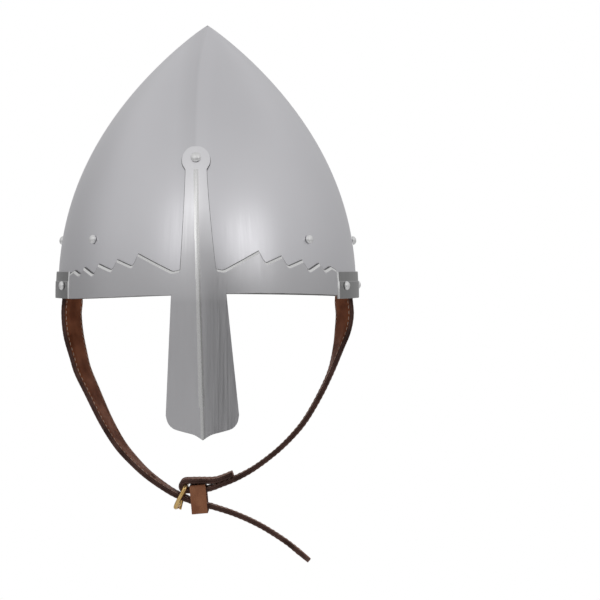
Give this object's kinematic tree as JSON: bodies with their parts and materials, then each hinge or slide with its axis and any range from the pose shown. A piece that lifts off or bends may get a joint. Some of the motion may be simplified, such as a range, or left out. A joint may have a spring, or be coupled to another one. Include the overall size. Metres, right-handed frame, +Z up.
{
  "type": "norman nasal helmet",
  "caption": "Pointed steel helmet with a medial ridge, a sawtooth brow band with nasal and upright bar, domed rivets, and a buckled leather chin strap.",
  "frame": {"origin": "centre of the head opening, in the plane of the rim, where the head goes in", "axes": "+Z up through the point of the crown; the nasal is at the front, towards -Y; +X to the wearer's left"},
  "size_m": [0.2181, 0.2497, 0.3814],
  "materials": {
    "steel": "satin, brushed upright",
    "rivets": "polished domes",
    "strap_leather": "dark reddish brown, grained and stitched",
    "keeper_leather": "tan, smooth",
    "brass": "polished"
  },
  "bodies": {
    "root": {"skull": "steel", "nasal_band": "steel", "rear_band": "steel", "bar_rivet": "rivets", "skull_rivet_1": "rivets", "skull_rivet_2": "rivets", "skull_rivet_3": "rivets", "skull_rivet_4": "rivets", "skull_rivet_5": "rivets", "skull_rivet_6": "rivets", "skull_rivet_7": "rivets", "band_rivet_1": "rivets", "band_rivet_2": "rivets", "band_rivet_3": "rivets", "band_rivet_4": "rivets", "band_rivet_5": "rivets", "band_rivet_6": "rivets", "band_rivet_7": "rivets", "chin_strap_long": "strap_leather", "chin_strap_short": "strap_leather", "keeper": "keeper_leather", "buckle_ring": "brass", "buckle_tongue": "brass"}
  },
  "joints": []
}
